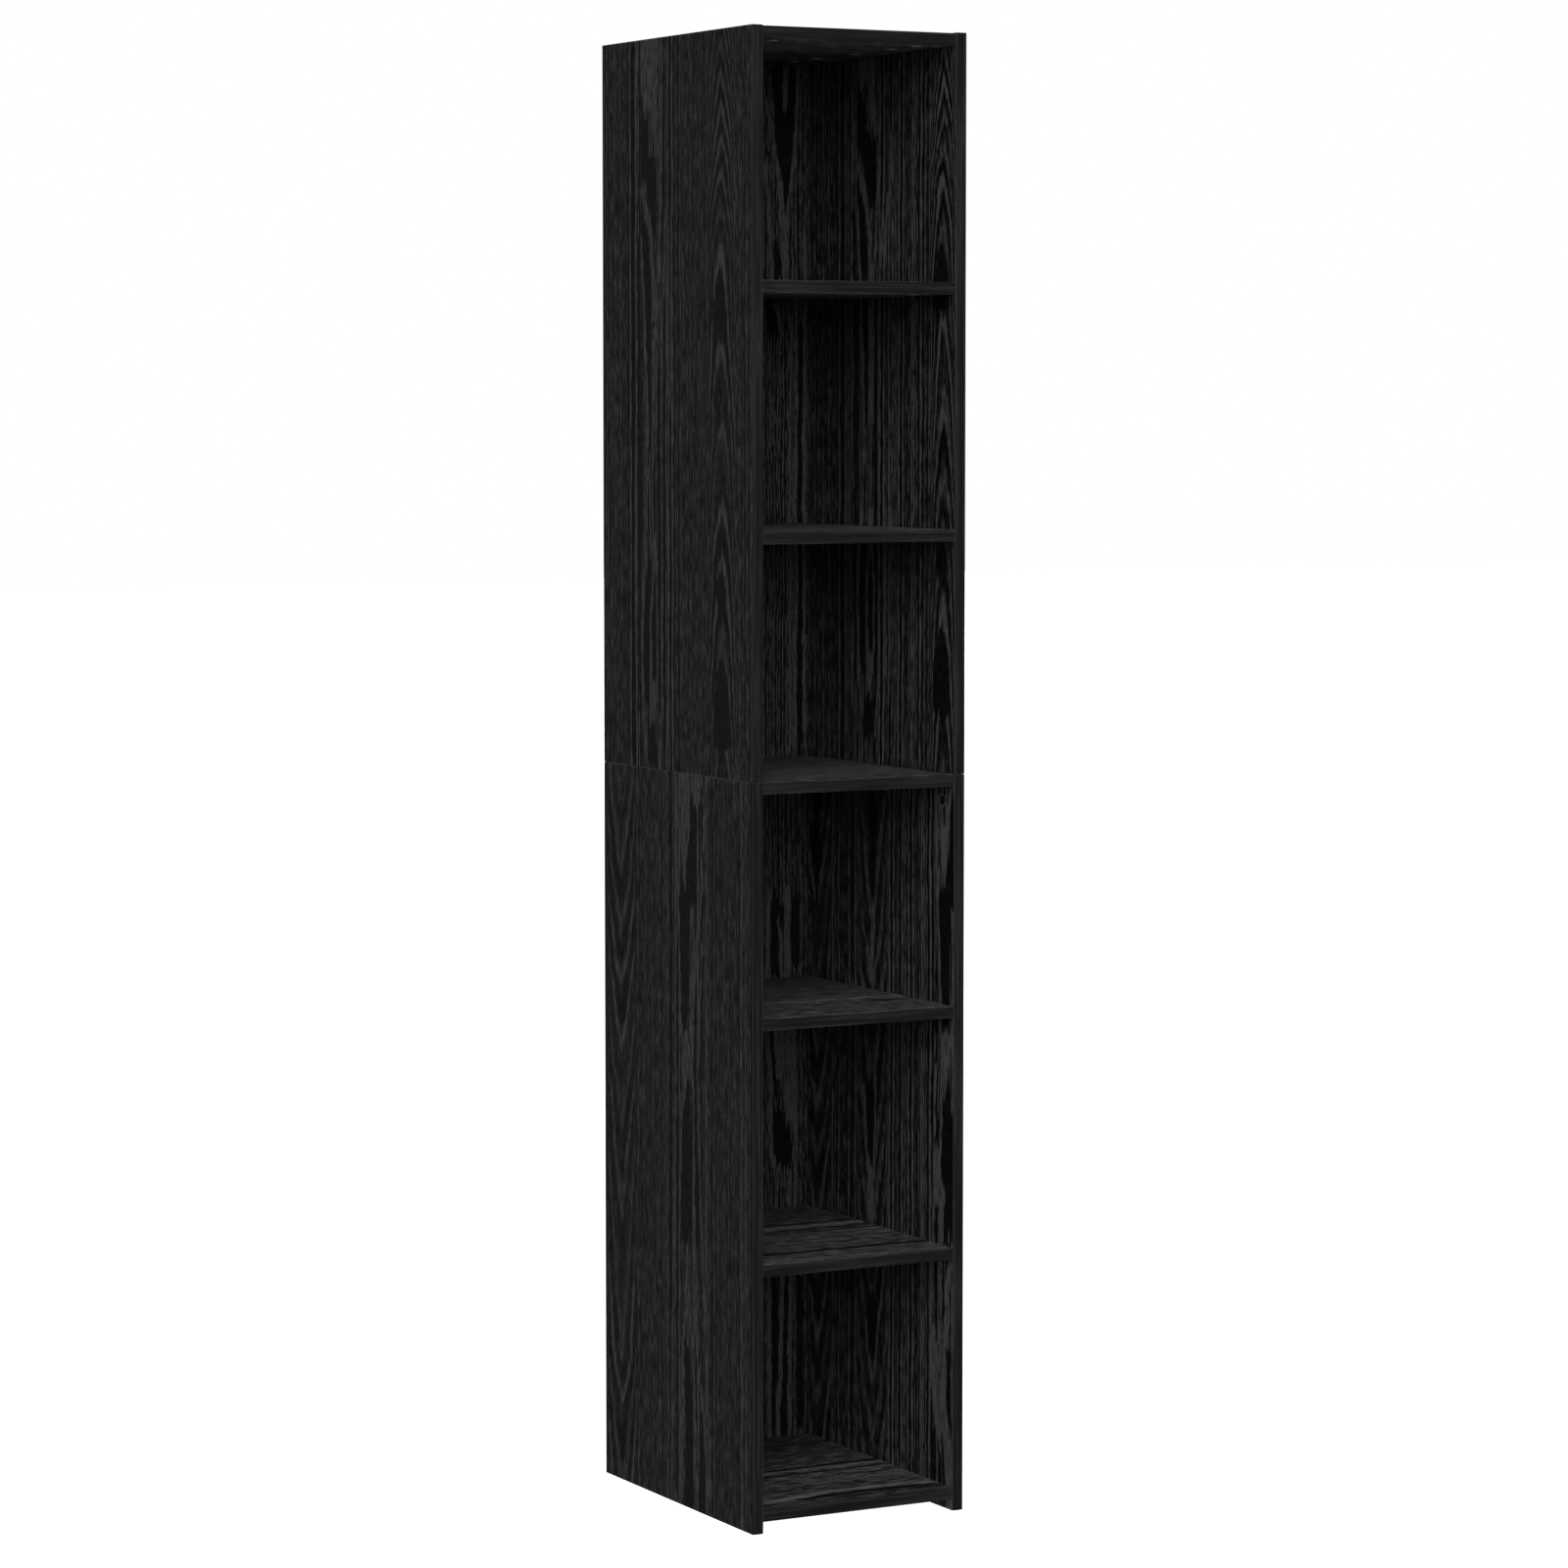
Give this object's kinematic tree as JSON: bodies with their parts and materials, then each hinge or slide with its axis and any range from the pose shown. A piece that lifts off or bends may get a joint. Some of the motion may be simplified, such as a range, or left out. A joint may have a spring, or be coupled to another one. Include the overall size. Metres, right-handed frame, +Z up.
{
  "type": "open highboard",
  "caption": "Tall narrow open cabinet of stacked modules in black oak decor, with open compartments one above another, a set-in back panel and side panels that run down to the floor.",
  "frame": {"origin": "centre of the cabinet's footprint, on the floor", "axes": "+Z up, -Y out of the open front, +X to the right as seen from the front"},
  "size_m": [0.3, 0.41, 1.85],
  "materials": {
    "black_oak_board": "matt melamine decor of black-stained oak, grain upright on the sides and crosswise on the boards",
    "black_oak_back": "3 mm hardboard with black oak decor on its front face and plain brown on its rear face",
    "zinc_fitting": "zinc-plated cam and cam bolt"
  },
  "bodies": {
    "root": {"bottom_board": "black_oak_board", "bottom_board_fitting_1_left": "zinc_fitting", "bottom_board_fitting_1_right": "zinc_fitting", "bottom_board_fitting_2_left": "zinc_fitting", "bottom_board_fitting_2_right": "zinc_fitting", "lower_back_panel": "black_oak_back", "lower_shelf_1": "black_oak_board", "lower_shelf_1_fitting_1_left": "zinc_fitting", "lower_shelf_1_fitting_1_right": "zinc_fitting", "lower_shelf_1_fitting_2_left": "zinc_fitting", "lower_shelf_1_fitting_2_right": "zinc_fitting", "lower_shelf_2": "black_oak_board", "lower_shelf_2_fitting_1_left": "zinc_fitting", "lower_shelf_2_fitting_1_right": "zinc_fitting", "lower_shelf_2_fitting_2_left": "zinc_fitting", "lower_shelf_2_fitting_2_right": "zinc_fitting", "lower_side_left": "black_oak_board", "lower_side_right": "black_oak_board", "middle_board": "black_oak_board", "middle_board_fitting_1_left": "zinc_fitting", "middle_board_fitting_1_right": "zinc_fitting", "middle_board_fitting_2_left": "zinc_fitting", "middle_board_fitting_2_right": "zinc_fitting", "seam_fitting_front_left": "zinc_fitting", "seam_fitting_front_right": "zinc_fitting", "seam_fitting_rear_left": "zinc_fitting", "seam_fitting_rear_right": "zinc_fitting", "top_board": "black_oak_board", "top_board_fitting_1_left": "zinc_fitting", "top_board_fitting_1_right": "zinc_fitting", "top_board_fitting_2_left": "zinc_fitting", "top_board_fitting_2_right": "zinc_fitting", "top_board_fitting_3_left": "zinc_fitting", "top_board_fitting_3_right": "zinc_fitting", "top_board_fitting_4_left": "zinc_fitting", "top_board_fitting_4_right": "zinc_fitting", "top_board_fitting_5_left": "zinc_fitting", "top_board_fitting_5_right": "zinc_fitting", "upper_back_panel": "black_oak_back", "upper_shelf_1": "black_oak_board", "upper_shelf_1_fitting_1_left": "zinc_fitting", "upper_shelf_1_fitting_1_right": "zinc_fitting", "upper_shelf_1_fitting_2_left": "zinc_fitting", "upper_shelf_1_fitting_2_right": "zinc_fitting", "upper_shelf_2": "black_oak_board", "upper_shelf_2_fitting_1_left": "zinc_fitting", "upper_shelf_2_fitting_1_right": "zinc_fitting", "upper_shelf_2_fitting_2_left": "zinc_fitting", "upper_shelf_2_fitting_2_right": "zinc_fitting", "upper_shelf_2_fitting_3_left": "zinc_fitting", "upper_shelf_2_fitting_3_right": "zinc_fitting", "upper_shelf_2_fitting_4_left": "zinc_fitting", "upper_shelf_2_fitting_4_right": "zinc_fitting", "upper_shelf_2_fitting_5_left": "zinc_fitting", "upper_shelf_2_fitting_5_right": "zinc_fitting", "upper_side_left": "black_oak_board", "upper_side_right": "black_oak_board"}
  },
  "joints": []
}
